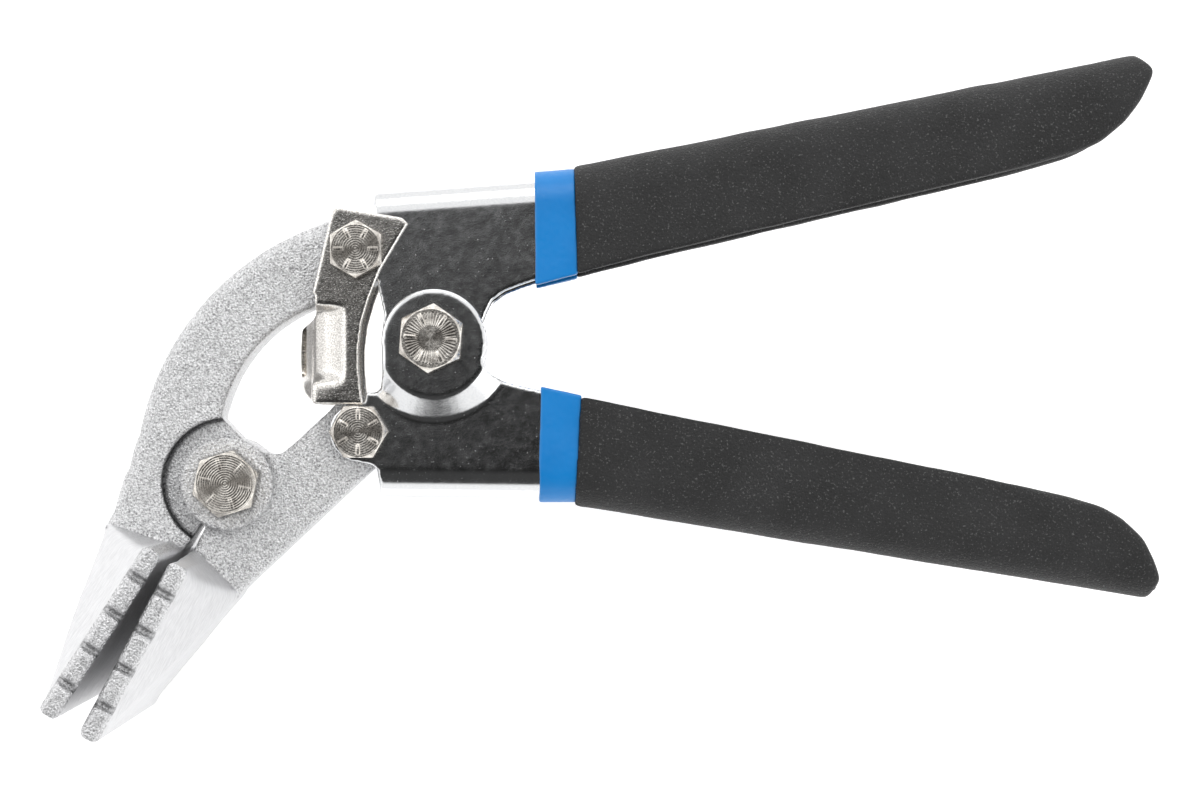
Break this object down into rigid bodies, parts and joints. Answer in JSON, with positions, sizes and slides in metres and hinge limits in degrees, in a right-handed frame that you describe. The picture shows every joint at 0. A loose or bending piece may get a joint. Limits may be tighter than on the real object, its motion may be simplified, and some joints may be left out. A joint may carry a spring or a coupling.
{
  "type": "hand seamer",
  "caption": "Offset hand seamer: wide flat sheet-metal jaws closed by compound-leverage channel handles with vinyl grips, a return spring and a swinging latch.",
  "frame": {"origin": "on the jaw pivot axis, halfway through the tool's thickness", "axes": "+Z along the pivot axes towards the bolt heads, +X from the jaw pivot towards the handle ends, +Y towards the upper handle; the jaws point to -X -Y"},
  "size_m": [0.1726, 0.1064, 0.0826],
  "materials": {
    "cast_jaw": "satin plated casting",
    "plated_sheet": "bright plated sheet steel",
    "plated_fastener": "satin nickel plate",
    "latch_plate": "speckled nickel plate",
    "plain_steel": "oiled",
    "blue_vinyl": "satin",
    "black_vinyl": "fine grain"
  },
  "bodies": {
    "jaw_lower": {"lower_jaw": "cast_jaw", "jaw_pivot_bolt": "plated_fastener", "jaw_pivot_washer": "plated_fastener", "jaw_pivot_nut": "plated_fastener"},
    "jaw_upper": {"upper_jaw": "cast_jaw"},
    "handle_upper": {"upper_handle": "plated_sheet", "upper_grip": "black_vinyl", "upper_band": "blue_vinyl", "upper_link_bolt": "plated_fastener", "upper_link_bush": "plain_steel", "upper_link_washer": "plated_fastener", "upper_link_nut": "plated_fastener", "handle_pivot_bolt": "plated_fastener", "handle_pivot_sleeve": "plain_steel", "handle_pivot_nut": "plated_fastener", "return_spring": "plain_steel"},
    "handle_lower": {"lower_handle": "plated_sheet", "lower_grip": "black_vinyl", "lower_band": "blue_vinyl", "lower_link_bolt": "plated_fastener", "lower_link_bush": "plain_steel", "lower_link_nut": "plated_fastener"},
    "latch_arm": {"latch": "latch_plate"}
  },
  "joints": [
    {"name": "jaw_pivot", "type": "hinge", "parent": "jaw_lower", "child": "jaw_upper", "pos_m": [0, 0, 0], "axis": [0, 0, 1], "range_deg": [0, 5]},
    {"name": "upper_link_pivot", "type": "hinge", "parent": "jaw_upper", "child": "handle_upper", "pos_m": [0.02053, 0.03683, 0], "axis": [0, 0, 1], "range_deg": [-3.67, 0]},
    {"name": "handle_pivot", "type": "hinge", "parent": "handle_upper", "child": "handle_lower", "pos_m": [0.0323, 0.02282, 0], "axis": [0, 0, 1], "range_deg": [0, 9.58], "deforming": ["return_spring"]},
    {"name": "latch_pivot", "type": "hinge", "parent": "jaw_upper", "child": "latch_arm", "pos_m": [0.02053, 0.03683, 0], "axis": [0, 0, 1], "range_deg": [-1, 4.5]}
  ],
  "couplings": [
    {"joint": "upper_link_pivot", "follows": "jaw_pivot", "ratio": -0.7325},
    {"joint": "handle_pivot", "follows": "jaw_pivot", "ratio": 1.9139}
  ]
}
